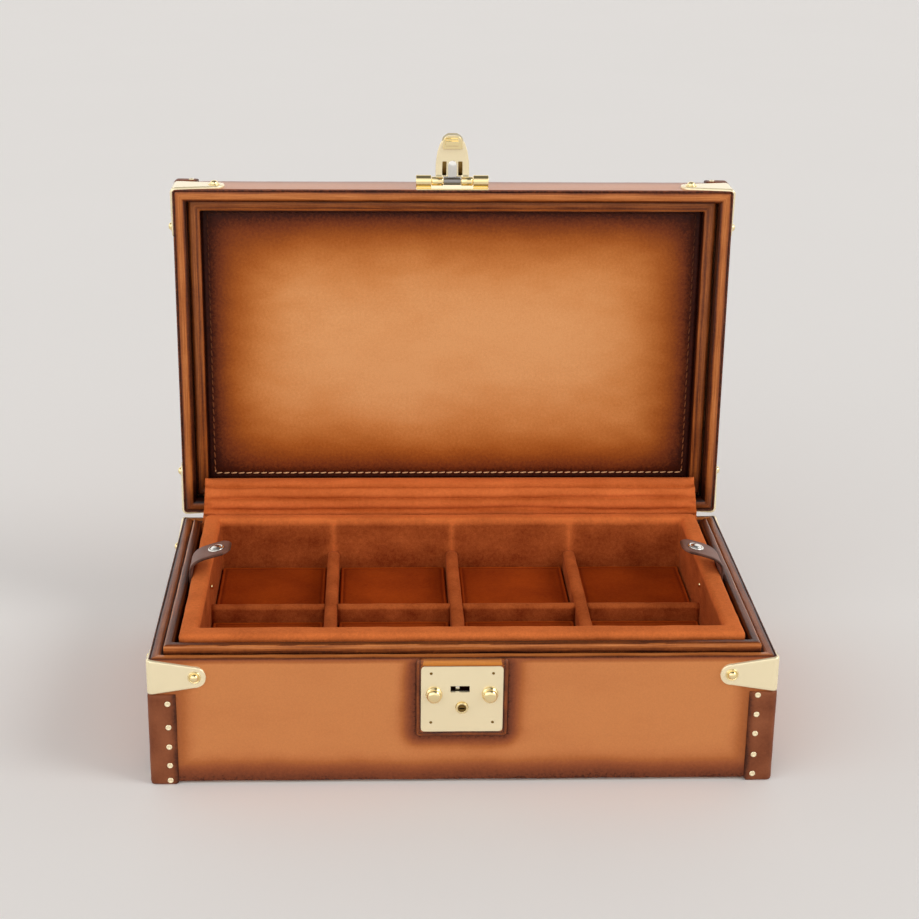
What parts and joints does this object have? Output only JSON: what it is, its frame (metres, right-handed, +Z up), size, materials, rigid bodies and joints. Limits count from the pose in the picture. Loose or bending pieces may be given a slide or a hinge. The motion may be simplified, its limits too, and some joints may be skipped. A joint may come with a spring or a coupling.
{
  "type": "watch box",
  "caption": "Open trunk-style leather watch box with brass corners, push lock and hasp, padded suede lid, and a lift-out suede tray of compartments.",
  "frame": {"origin": "centre of the underside, on the table plane", "axes": "+X to the right along the box, +Y to the back where the hinges are, +Z up"},
  "size_m": [0.3168, 0.2222, 0.2907],
  "materials": {
    "hide": "tan vegetable leather with burnished edges",
    "rim": "rolled rim of darker leather",
    "strip": "dark red-brown leather strip",
    "suede": "beige suede",
    "suede_pad": "beige suede over foam",
    "tab": "grey-brown leather",
    "brass": "polished",
    "steel": "plain",
    "plywood": "birch plywood",
    "lining": "suede over card"
  },
  "bodies": {
    "base": {"base_front_board": "plywood", "base_rear_board": "plywood", "base_left_board": "plywood", "base_right_board": "plywood", "base_bottom_board": "plywood", "base_bottom_cover": "hide", "base_leather_cover": "hide", "base_rim_bead": "rim", "base_liner_frame": "suede", "base_front_caps": "brass", "base_rear_caps": "brass", "base_corner_strips": "strip", "base_cap_rivets": "brass", "base_nails": "brass", "floor_lining": "lining", "tray_bearers": "suede", "lock_plate": "brass", "lock_case": "steel", "lock_studs": "brass", "lock_plate_pins": "brass", "lock_springs": "steel", "hinge_pins": "brass", "hinge_base_leaves": "brass", "hinge_base_screws": "brass", "hinge_gusset": "suede"},
    "lid": {"lid_front_caps": "brass", "lid_rear_caps": "brass", "lid_corner_strips": "strip", "lid_cap_rivets": "brass", "lid_nails": "brass", "lid_front_board": "plywood", "lid_rear_board": "plywood", "lid_left_board": "plywood", "lid_right_board": "plywood", "lid_top_board": "plywood", "lid_leather_cover": "hide", "lid_rim_bead": "rim", "lid_liner_frame": "suede", "lid_panel": "suede_pad", "hinge_lid_leaves": "brass", "hinge_lid_screws": "brass", "hasp_bracket": "brass", "hasp_pin": "brass", "hasp_spring": "steel"},
    "hasp": {"hasp_plate": "brass", "hasp_hook": "brass"},
    "tray": {"tray_floor_board": "plywood", "tray_walls": "suede", "tray_long_dividers": "suede", "tray_cross_dividers": "suede", "compartment_pads": "suede_pad", "tab_anchors": "tab", "tab_rivets": "brass"},
    "left_tab": {"tab_left": "tab", "tab_snap_left": "brass"},
    "right_tab": {"tab_right": "tab", "tab_snap_right": "brass"},
    "push_button": {"push_cylinder": "brass"},
    "key_plug": {"key_plug": "brass"},
    "catch": {"lock_catch": "steel"}
  },
  "joints": [
    {"name": "lid_hinge", "type": "hinge", "parent": "base", "child": "lid", "pos_m": [0, 0.0966, 0.0689], "axis": [-1, 0, 0], "range_deg": [-90, 0], "deforming": ["hinge_gusset"]},
    {"name": "hasp_hinge", "type": "hinge", "parent": "lid", "child": "hasp", "pos_m": [-0.001, 0.1018, 0.2647], "axis": [-1, 0, 0], "range_deg": [-90, 0], "stiffness_Nm_per_rad": 0.02, "springref_deg": 17.19, "deforming": ["hasp_spring"]},
    {"name": "tray_lift", "type": "slide", "parent": "base", "child": "tray", "axis": [0, 0, 1], "range_m": [0, 0.085]},
    {"name": "left_tab_hinge", "type": "hinge", "parent": "tray", "child": "left_tab", "pos_m": [-0.14195, 0.002, 0.076], "axis": [0, -1, 0], "range_deg": [-25, 50], "stiffness_Nm_per_rad": 0.01},
    {"name": "right_tab_hinge", "type": "hinge", "parent": "tray", "child": "right_tab", "pos_m": [0.14195, 0.002, 0.076], "axis": [0, 1, 0], "range_deg": [-25, 50], "stiffness_Nm_per_rad": 0.01},
    {"name": "push_slide", "type": "slide", "parent": "base", "child": "push_button", "axis": [0, 1, 0], "range_m": [0, 0.0015], "stiffness_N_per_m": 300, "springref_m": -0.003, "deforming": ["lock_springs"]},
    {"name": "key_turn", "type": "hinge", "parent": "push_button", "child": "key_plug", "pos_m": [-0.001, -0.093, 0.042], "axis": [0, 1, 0], "range_deg": [0, 90]},
    {"name": "catch_slide", "type": "slide", "parent": "base", "child": "catch", "axis": [-1, 0, 0], "range_m": [0, 0.003]}
  ],
  "couplings": [
    {"joint": "catch_slide", "follows": "push_slide", "ratio": 2}
  ]
}
